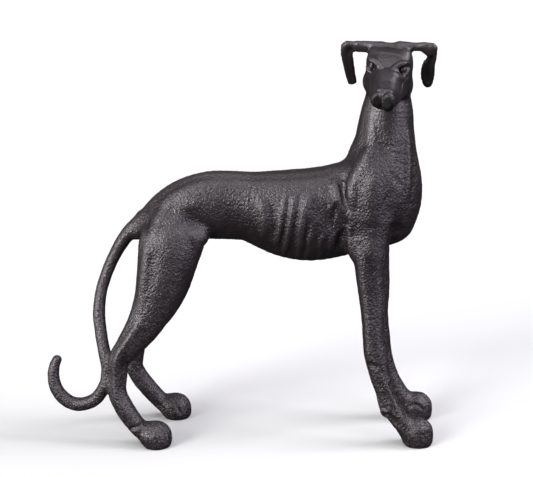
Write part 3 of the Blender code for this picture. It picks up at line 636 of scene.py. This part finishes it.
def quarter_strokes():
    """The line below the spine, hip, ham, fold of the flank, hock and hind paw."""
    return [
        [(-86, 6, 190, 3, 0), (-74, 10, 202, 5, -0.6), (-53, 11, 218, 5, -0.7),
         (-32, 10, 226, 5, -0.7), (1, 10, 226.5, 5, -0.6), (35, 12, 227, 5, -0.6),
         (68, 13, 229.5, 5, -0.5), (82, 10, 235, 3, 0)],
        [(-57, 14, 211, 5, 0), (-61, 17, 205, 8, 1), (-67, 21, 196, 8, 1.3), (-73, 27, 184, 7, 0.8),
         (-76, 29, 177, 5, 0)],
        [(-77, 12, 196, 3, 0), (-76, 18, 190, 4, -1), (-75.5, 25, 184, 3.5, -0.8),
         (-75, 28, 178, 3, 0)],
        [(-28, 20, 205, 6, 0), (-35, 21, 198, 10, -0.9), (-42, 24, 190, 10, -1.1),
         (-47, 30, 181, 8, 0)],
        [(-42, 28, 186, 4, 0), (-37.5, 25, 179, 5, 1.1), (-34, 24, 171, 4.6, 1.1),
         (-34, 26, 162, 4, 0)],
        [(-28, 17, 184, 4, 0), (-30, 16, 177, 5, -1), (-29, 14, 172, 4, 0)],
        [(-76, 29, 176, 4, 0), (-77, 31, 168, 6, 0.9), (-79, 33, 150, 6.5, 1.1),
         (-81, 35, 131, 6.5, 1), (-84, 36, 117, 5, 0)],
        [(-68, 33, 172, 5, 0), (-70, 35, 160, 7, -0.8), (-72, 37, 146, 7, -0.8),
         (-75, 38, 128, 6, 0)],
        [(-81, 38, 114, 4, 0), (-86, 39.5, 104, 5.4, 1.2), (-95, 40.5, 91, 5.4, 1.7),
         (-102, 40.5, 79, 4.6, 1.9), (-104, 41, 62, 4.4, 1.9), (-103.6, 42, 45, 4.4, 1.8),
         (-98, 42, 32, 4.6, 1.4), (-92, 43, 23, 4, 0)],
        [(-93, 39, 84, 4, 0), (-96, 38, 74, 5, -1.2), (-97, 38, 58, 5, -1.2), (-96, 39, 44, 4, 0)],
        [(-96, 38, 14, 2.4, 0), (-92, 42, 16.6, 2.8, -1.5), (-86, 44, 18.4, 2.8, -1.6),
         (-80, 38, 20.4, 2.4, -1), (-77, 34, 21, 2, 0)],
        [(-69, 41, 19.4, 2, 0), (-64, 43, 15, 2, -0.8), (-61.4, 44, 10, 2, -0.8),
         (-60, 44, 5, 2, 0)],
        [(-78, 29, 19, 2, 0), (-74.4, 27.3, 13.2, 2.6, -1.3), (-69, 26, 8, 2.6, -1.3),
         (-65.6, 27, 0, 2, 0)],
        [(-60, 26, 17, 1.4, 0), (-58, 25.3, 13.9, 2, -1.3), (-54.4, 24.2, 6.8, 2, -1.3),
         (-53, 24, 3, 1.2, 0)],
    ]


def foreleg_strokes():
    """Tendons of the forearm, wrist, pastern and paw, and the mould's seam in front."""
    return [
        [(101, 30, 172, 4, 0), (102, 31, 160, 6, 0.8), (104, 32, 143, 6, 0.8),
         (107, 34, 118, 5, 0.7), (109.5, 36, 92, 5, 0.8), (109.5, 36, 78, 4.5, 0.8),
         (110, 36, 70, 4, 0)],
        [(110, 33, 168, 4, 0), (111, 33.5, 156, 6, -0.9), (113, 34, 135, 6, -0.8),
         (116, 36, 110, 5, -0.6), (117, 38, 90, 4, 0)],
        [(109, 36, 74, 3, 0), (113, 38, 71, 4, -1), (119, 39, 68, 3, 0)],
        [(118, 39, 66, 3, 0), (124.5, 39.5, 54, 3.8, 1.5), (129.5, 39.5, 44, 4, 1.8),
         (134.5, 40, 34, 4, 1.8), (140, 42, 24, 4, 1.2), (145, 44, 16, 3, 0)],
        [(117, 33, 44, 3, 0), (119.6, 35, 37, 3.6, 1.4), (122, 36, 31.6, 3.6, 2),
         (126, 38, 29.8, 3, 1.4), (129, 39, 31, 2.4, 0)],
        [(121, 37, 26, 3, 0), (128, 38.6, 27.4, 4, -1.6), (132.5, 40.4, 23, 4, -1.6),
         (137, 42.4, 17, 4, 0)],
        [(145, 44, 19, 3, 0), (152, 44, 16, 4.5, 1), (160, 42, 16, 4, 1), (165, 38, 15, 3, 0)],
        [(150, 23, 10, 2, 0), (154, 22, 13.4, 2.6, -0.9), (158, 22, 14.6, 2.6, -1),
         (163, 21.5, 11.6, 2.6, -0.9), (166, 22, 7, 2, 0)],
        [(149, 26, 16, 3, 0), (156, 23, 18.6, 3, 0.8), (163, 22, 16, 3, 0.8),
         (167, 23, 11, 2.4, 0)],
        [(122, 27, 176, 1.4, 0.2), (122.5, 28.5, 160, 1.4, 0.6), (123, 29.5, 135, 1.4, 0.6),
         (123.5, 31, 110, 1.4, 0.6), (126, 32, 86, 1.4, 0.5), (130, 33, 70, 1.4, 0.2)],
    ]


def head_strokes():
    """Lips, the fold under each eye, the furrow before the cheek and the wing of the nose."""
    return [
        [(56, 7.6, -10.8, 1.6, 0), (50, 9, -12.4, 2, -0.8), (38, 11, -13.6, 2.2, -0.9),
         (24, 14, -16.2, 2.4, -0.9), (14, 16, -18.6, 2, 0)],
        [(27, 6, -1.6, 3, 0), (22, 10, -3.4, 4, 1), (16, 15, -3, 4, 1), (11, 18, 1, 3, 0)],
        [(24, 14, 1, 2, 0), (30, 12.6, -2, 2.4, -0.7), (38, 11.4, -5, 2.4, -0.7),
         (44, 10.8, -9, 2, 0)],
        [(57, 8.4, 3, 1.4, 0), (56, 9, 0, 1.6, -0.7), (56.4, 9, -4, 1.6, -0.7),
         (56.4, 7.6, -8, 1.4, 0)],
    ]


def face_strokes():
    """What crosses the face or is on one side of it.

    The forehead's edge, the root of the muzzle, the rim and parting of the nose, the muzzle's
    right edge, its bridge and the fold below the left eye.
    """
    return [
        [(3, -17, 11, 2, 0), (5, -12, 13.6, 2.6, 0.4), (5, -4, 15, 2.6, 0.4),
         (6, 5, 14.4, 2.6, 0.4), (8, 13, 12.6, 2, 0)],
        [(26, -9, 5.4, 8, 0), (30, -4, 6.4, 13, 1), (30, 3, 6.4, 13, 1), (26, 8, 5.8, 8, 0)],
        [(54, -9, 1.4, 1.2, 0), (54.8, -5.4, 3.4, 2.4, 0.8), (54.6, -1, 3, 2.4, 0.6),
         (54.8, 3.6, 3.4, 2.4, 0.9), (54.6, 8, 1.6, 1.8, 0.5), (54, 9.6, -1, 1, 0)],
        [(61, -1.2, 0, 0.8, 0.3), (61.4, -1, -4, 0.8, 0.4), (60, -0.8, -8.6, 0.8, 0.2)],
        [(39, -9.8, 2.2, 2, 0), (44, -9, 2.2, 2.8, 0.3), (50, -8.4, 1.4, 2.6, 0.7),
         (53, -8.8, -1.4, 2, 0.7), (52, -9.4, -6, 1.6, 0)],
        [(14, 0, 10, 7, 0), (26, -0.6, 7, 9, 0.9), (38, -1, 5.4, 8.6, 1.2), (48, -1, 4, 7, 0.6),
         (53, -1, 3.4, 5, 0)],
        [(25, 3, 7.6, 3, 0), (27.6, 5.6, 6.4, 4.4, 0.8), (27, 10, 3.4, 4.4, 0.8),
         (23, 14, 0.6, 3, 0)],
    ]


def carve(mesh, strokes):
    """Raises or sinks the skin along each stroke, fading out to its width on either side."""
    points, normals = read_points(mesh), read_normals(mesh)
    lift = np.zeros(len(points))
    for line, width, height in strokes:
        reach = width.max()
        inside = (points > line.min(axis=0) - reach) & (points < line.max(axis=0) + reach)
        near = np.nonzero(inside.all(axis=1))[0]
        gap = np.linalg.norm(points[near, None] - line, axis=2)
        spot = gap.argmin(axis=1)
        share = 1 - (gap.min(axis=1) / width[spot])**2
        lift[near] += height[spot] * np.clip(share, 0, 1)**2
    write_points(mesh, points + normals * lift[:, None])


def grain_share(points, normals):
    """How rough the mould left the skin: least on the head and along the top of the back."""
    start, stretch = SMOOTH_HEAD
    head = np.clip((points[:, 2] - start) / stretch, 0, 1)
    facing, fade, above = SMOOTH_BACK
    back = np.clip((normals[:, 2] - facing) / fade, 0, 1) * (points[:, 2] > above)
    return 1 - SMOOTHING * np.maximum(head, 0.8 * back)


def roughen(mesh):
    """The lumpy skin of the sand mould."""
    points, normals = read_points(mesh), read_normals(mesh)
    share = grain_share(points, normals)
    height = np.empty(len(points))
    for index, point in enumerate(points):
        spot = Vector(point)
        coarse = noise.noise(spot / COARSE_SIZE)
        fine = noise.noise(spot / FINE_SIZE + Vector(FINE_PLACE))
        height[index] = COARSE_HEIGHT * coarse + FINE_HEIGHT * fine
    write_points(mesh, points + normals * (share * height)[:, None])


def thin_out(mesh, wanted):
    """Fewer triangles where the skin is plain."""
    rough = bpy.data.objects.new("rough", mesh)
    bpy.context.scene.collection.objects.link(rough)
    decimate = rough.modifiers.new("Thin", "DECIMATE")
    decimate.ratio = wanted / (len(mesh.loops) - 2 * len(mesh.polygons))
    graph = bpy.context.evaluated_depsgraph_get()
    thinned = bpy.data.meshes.new_from_object(rough.evaluated_get(graph))
    bpy.data.objects.remove(rough)
    bpy.data.meshes.remove(mesh)
    return thinned


def add_attribute(mesh, name, values):
    """One value for each point, under a name that the material reads."""
    layer = mesh.attributes.new(name, "FLOAT", "POINT")
    layer.data.foreach_set("value", values.astype(np.float32))


def paint_masks(mesh):
    """Values for the material: grain, black nose and painted shade on the ear lobes, worn edges and
    painted shade in hollows, legs.
    """
    points, normals = read_points(mesh), read_normals(mesh)
    add_attribute(mesh, "grain", grain_share(points, normals))
    ahead, left, up = in_head_axes(points).T
    lobes = [((left - y) / wide)**2 + ((up - z) / tall)**2 for y, z, wide, tall in NOSE_LOBES]
    black = np.clip(3 * (1.15 - np.minimum(*lobes)), 0, 1)
    black *= np.clip(2 * (ahead - NOSE_FRONT), 0, 1)
    # painted shade on the ear lobes where they hang down and out, stored with the nose's black
    ears = np.clip((EAR_SHADE_BELOW - up) / 12, 0, 1) * np.clip(np.abs(left) - EAR_SHADE_OUTSIDE, 0, 1)
    ears *= (ahead < 4) & (up > -40)
    add_attribute(mesh, "nose", np.maximum(black, EAR_PAINTED_SHADE * ears))
    # raised edges get lighter worn paint, hollows get painted shade
    smooth = points
    for _ in range(EDGE_AND_HOLLOW_ROUNDS):
        smooth = relaxed(mesh, smooth, 0.5)
    bulge = ((points - smooth) * normals).sum(axis=1)
    for _ in range(3):
        bulge = relaxed(mesh, bulge[:, None], 0.5)[:, 0]
    add_attribute(mesh, "edge_wear_and_hollow_shade", np.clip(bulge / EDGE_AND_HOLLOW_HEIGHT, -1, 1))
    add_attribute(mesh, "legs", np.clip((LEGS_BELOW - points[:, 2]) / LEGS_FADE, 0, 1))


def cut_soles(mesh):
    """Cuts the paws off flat and closes the cuts."""
    work = bmesh.new()
    work.from_mesh(mesh)
    geometry = work.verts[:] + work.edges[:] + work.faces[:]
    cut = bmesh.ops.bisect_plane(work, geom=geometry, plane_co=(0, 0, SOLE * MM),
                                 plane_no=(0, 0, -1), clear_outer=True)
    rims = [item for item in cut["geom_cut"] if isinstance(item, bmesh.types.BMEdge)]
    bmesh.ops.holes_fill(work, edges=rims, sides=0)
    bmesh.ops.triangulate(work, faces=work.faces[:])
    work.to_mesh(mesh)
    work.free()


def all_strokes():
    """Every stroke that is carved, on the body and in the head's own axes."""
    body_strokes = (flank_strokes() + neck_and_chest_strokes() + quarter_strokes()
                    + foreleg_strokes())
    return (mirrored(body_strokes) + mirrored(head_strokes(), head_place())
            + [stroke(stations, head_place()) for stations in face_strokes()])


def make_greyhound():
    """The casting, standing where the solid stands, and how far that is from the sketch."""
    masses = greyhound_masses()
    mesh = fuse(masses, FUSE_VOXEL)
    settle(mesh, masses, BROAD_SETTLING)
    refine(mesh, finer)
    detailed = masses + relief_masses()
    settle(mesh, detailed, FINE_SETTLING)
    refine(mesh, face_and_nose)
    settle(mesh, detailed, FACE_SETTLING)
    carve(mesh, all_strokes())
    roughen(mesh)
    mesh = thin_out(mesh, TRIANGLES)
    cut_soles(mesh)
    paint_masks(mesh)
    points = read_points(mesh)
    low, high = points.min(axis=0) * MM, points.max(axis=0) * MM
    shift = (CAD_LOW + CAD_HIGH) / 2 - (low + high) / 2
    shift[2] = CAD_LOW[2] - low[2]
    mesh.transform(Matrix.Translation(shift))
    mesh.shade_smooth()
    figure = bpy.data.objects.new("greyhound_casting", mesh)
    bpy.context.scene.collection.objects.link(figure)
    return figure, Vector(shift)


def node(tree, kind, **values):
    """A new node with the given properties."""
    made = tree.nodes.new(kind)
    for name, value in values.items():
        setattr(made, name, value)
    return made


def cast_iron():
    """Black-brown painted iron over a sand-cast skin, with painted shade in hollows and on the ear
    lobes, and painted highlights and shade on the legs' grain.
    """
    material = bpy.data.materials.new("cast_iron")
    material.use_nodes = True
    tree = material.node_tree
    shader = tree.nodes["Principled BSDF"]
    link = tree.links.new
    place = node(tree, "ShaderNodeTexCoord").outputs["Object"]

    def noise_node(scale, detail, rough=0.55):
        """A cloudy value; the scale is in cycles a metre."""
        made = node(tree, "ShaderNodeTexNoise")
        made.inputs["Scale"].default_value = scale
        made.inputs["Detail"].default_value = detail
        made.inputs["Roughness"].default_value = rough
        link(place, made.inputs["Vector"])
        return made.outputs["Fac"]

    def ramp(source, *stops):
        """Turns a value into others, or colours, between stops of place and value."""
        made = node(tree, "ShaderNodeValToRGB")
        while len(made.color_ramp.elements) < len(stops):
            made.color_ramp.elements.new(0.5)
        for element, (spot, value) in zip(made.color_ramp.elements, stops):
            element.position = spot
            element.color = (*value, 1) if isinstance(value, tuple) else (value, value, value, 1)
        link(source, made.inputs["Fac"])
        return made.outputs["Color"]

    def attribute(name):
        """One of the values that paint_masks gives the mesh."""
        return node(tree, "ShaderNodeAttribute", attribute_name=name).outputs["Fac"]

    def mix(share, low, high):
        """Between two values or colours by a share from 0 to 1."""
        made = node(tree, "ShaderNodeMix", data_type="RGBA")
        link(share, made.inputs["Factor"])
        for name, value in (("A", low), ("B", high)):
            socket = next(i for i in made.inputs if i.name == name and i.type == "RGBA")
            if isinstance(value, bpy.types.NodeSocket):
                link(value, socket)
            else:
                socket.default_value = (*value, 1) if isinstance(value, tuple) else (value,) * 4
        return next(o for o in made.outputs if o.type == "RGBA")

    def times(a, b):
        """The product of a socket and a socket or number."""
        made = node(tree, "ShaderNodeMath", operation="MULTIPLY")
        link(a, made.inputs[0])
        if isinstance(b, bpy.types.NodeSocket):
            link(b, made.inputs[1])
        else:
            made.inputs[1].default_value = b
        return made.outputs["Value"]

    grain, nose = attribute("grain"), attribute("nose")
    edge_wear_and_hollow_shade, legs = attribute("edge_wear_and_hollow_shade"), attribute("legs")
    paint = ramp(noise_node(PAINT_PATCHES, 4), (0.35, PAINT_DARK), (0.65, PAINT_LIGHT))
    rubbed = ramp(edge_wear_and_hollow_shade, (0.1, 0.0), (0.6, 1.0))
    # painted shade: the paint is darkened in the skin's hollows
    hollow_shade = ramp(times(edge_wear_and_hollow_shade, -1), (0.1, 0.0), (0.6, 1.0))
    paint = mix(times(rubbed, 0.6), paint, RUBBED_EDGE)
    paint = mix(times(hollow_shade, 0.6), paint, PAINTED_HOLLOW_SHADE)
    # painted highlight on the tops of the fine grain and painted shade in its pits, on the legs;
    # the same noise raises the fine bump
    fine = noise_node(FINE_PITTING, 2)
    grain_highlight = ramp(fine, (0.54, 0.0), (0.66, 1.0))
    grain_shade = ramp(fine, (0.36, 1.0), (0.50, 0.0))
    paint = mix(times(grain_highlight, legs), paint, GRAIN_PAINTED_HIGHLIGHT)
    paint = mix(times(grain_shade, legs), paint, GRAIN_PAINTED_SHADE)
    # the nose's black, with the ears' painted shade mixed in at part strength
    link(mix(nose, paint, NOSE_BLACK), shader.inputs["Base Color"])
    sheen = ramp(noise_node(SHEEN_PATCHES, 4), (0.3, 0.24), (0.7, 0.38))
    smooth = ramp(noise_node(SMOOTH_SHEEN_PATCHES, 3), (0.35, 0.32), (0.65, 0.48))
    sheen = mix(grain, smooth, sheen)
    sheen = mix(times(legs, 0.6), sheen, 0.24)
    link(mix(nose, sheen, 0.5), shader.inputs["Roughness"])
    shader.inputs["Metallic"].default_value = 0.0
    shader.inputs["Specular IOR Level"].default_value = 0.9
    shader.inputs["Specular Tint"].default_value = (1, 0.94, 0.99, 1)

    first = node(tree, "ShaderNodeBump")
    first.inputs["Distance"].default_value = PIT_DEPTH
    link(grain, first.inputs["Strength"])
    link(noise_node(PITTING, 2, 0.5), first.inputs["Height"])
    second = node(tree, "ShaderNodeBump")
    second.inputs["Distance"].default_value = FINE_PIT_DEPTH
    link(mix(legs, 0.4, 1.0), second.inputs["Strength"])
    link(fine, second.inputs["Height"])
    link(first.outputs["Normal"], second.inputs["Normal"])
    link(second.outputs["Normal"], shader.inputs["Normal"])
    return material


def aim(item, place, target):
    """Puts an item at a place and turns its view to the target."""
    item.location = place
    item.rotation_euler = (Vector(target) - Vector(place)).to_track_quat("-Z", "Y").to_euler()


def add_sun(name, round_from_camera, height, spread, strength, colour):
    """A soft light far off, as LIGHTS describes it."""
    light = bpy.data.lights.new(name, "SUN")
    light.angle = math.radians(spread)
    light.energy = strength
    light.color = colour
    item = bpy.data.objects.new(name, light)
    bpy.context.scene.collection.objects.link(item)
    turn, lift = math.radians(round_from_camera), math.radians(height)
    towards = Vector((-math.sin(turn) * math.cos(lift), -math.cos(turn) * math.cos(lift),
                      math.sin(lift)))
    item.rotation_euler = towards.to_track_quat("Z", "Y").to_euler()


def add_floor():
    """Pale paper that takes the light and shadows and throws no light back at the figure."""
    mesh = bpy.data.meshes.new("floor")
    mesh.from_pydata([(-FLOOR_REACH, -FLOOR_REACH, 0), (FLOOR_REACH, -FLOOR_REACH, 0),
                      (FLOOR_REACH, FLOOR_REACH, 0), (-FLOOR_REACH, FLOOR_REACH, 0)],
                     [], [(0, 1, 2, 3)])
    floor = bpy.data.objects.new("floor", mesh)
    bpy.context.scene.collection.objects.link(floor)
    paper = bpy.data.materials.new("floor_paper")
    paper.use_nodes = True
    shader = paper.node_tree.nodes["Principled BSDF"]
    shader.inputs["Base Color"].default_value = (*FLOOR_COLOUR, 1)
    shader.inputs["Roughness"].default_value = 1
    shader.inputs["Specular IOR Level"].default_value = 0
    mesh.materials.append(paper)
    floor.visible_diffuse = False
    floor.visible_glossy = False
    floor.visible_shadow = False
    floor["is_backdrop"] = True


def add_dome():
    """Soft light from the whole upper half of the room, fading out below the horizon."""
    world = bpy.data.worlds.new("studio")
    bpy.context.scene.world = world
    world.use_nodes = True
    tree = world.node_tree
    link = tree.links.new
    room = tree.nodes["Background"]
    direction = tree.nodes.new("ShaderNodeTexCoord").outputs["Generated"]
    split = tree.nodes.new("ShaderNodeSeparateXYZ")
    link(direction, split.inputs["Vector"])
    fade = tree.nodes.new("ShaderNodeMapRange")
    fade.interpolation_type = "SMOOTHSTEP"
    fade.inputs["From Min"].default_value = -0.1
    fade.inputs["From Max"].default_value = 0.3
    fade.inputs["To Min"].default_value = DOME_BELOW
    fade.inputs["To Max"].default_value = DOME_ABOVE
    link(split.outputs["Z"], fade.inputs["Value"])
    link(fade.outputs["Result"], room.inputs["Strength"])
    room.inputs["Color"].default_value = (*DOME_COLOUR, 1)
    paper = tree.nodes.new("ShaderNodeBackground")
    paper.inputs["Color"].default_value = (*BACKDROP_COLOUR, 1)
    mix = tree.nodes.new("ShaderNodeMixShader")
    link(tree.nodes.new("ShaderNodeLightPath").outputs["Is Camera Ray"], mix.inputs["Fac"])
    link(room.outputs["Background"], mix.inputs[1])
    link(paper.outputs["Background"], mix.inputs[2])
    link(mix.outputs["Shader"], tree.nodes["World Output"].inputs["Surface"])


def add_studio(shift):
    """A pale floor, soft lights and the camera of the photograph."""
    add_floor()
    add_dome()
    for light in LIGHTS:
        add_sun(*light)

    camera = bpy.data.cameras.new("camera")
    camera.sensor_width = SENSOR_WIDTH
    camera.lens = FOCAL_PIXELS / PHOTO_WIDTH * SENSOR_WIDTH
    camera.clip_start = 0.01
    eye = bpy.data.objects.new("camera", camera)
    bpy.context.scene.collection.objects.link(eye)
    target = Vector(CAMERA_TARGET) * MM + shift
    slope = math.radians(CAMERA_RISE)
    place = target + Vector((0, -math.cos(slope), math.sin(slope))) * CAMERA_DISTANCE
    aim(eye, place, target)
    bpy.context.scene.camera = eye
    bpy.context.scene.view_settings.view_transform = "Standard"


figure, shift = make_greyhound()
figure.data.materials.append(cast_iron())
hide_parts("greyhound")
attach(figure, "root")
add_studio(shift)
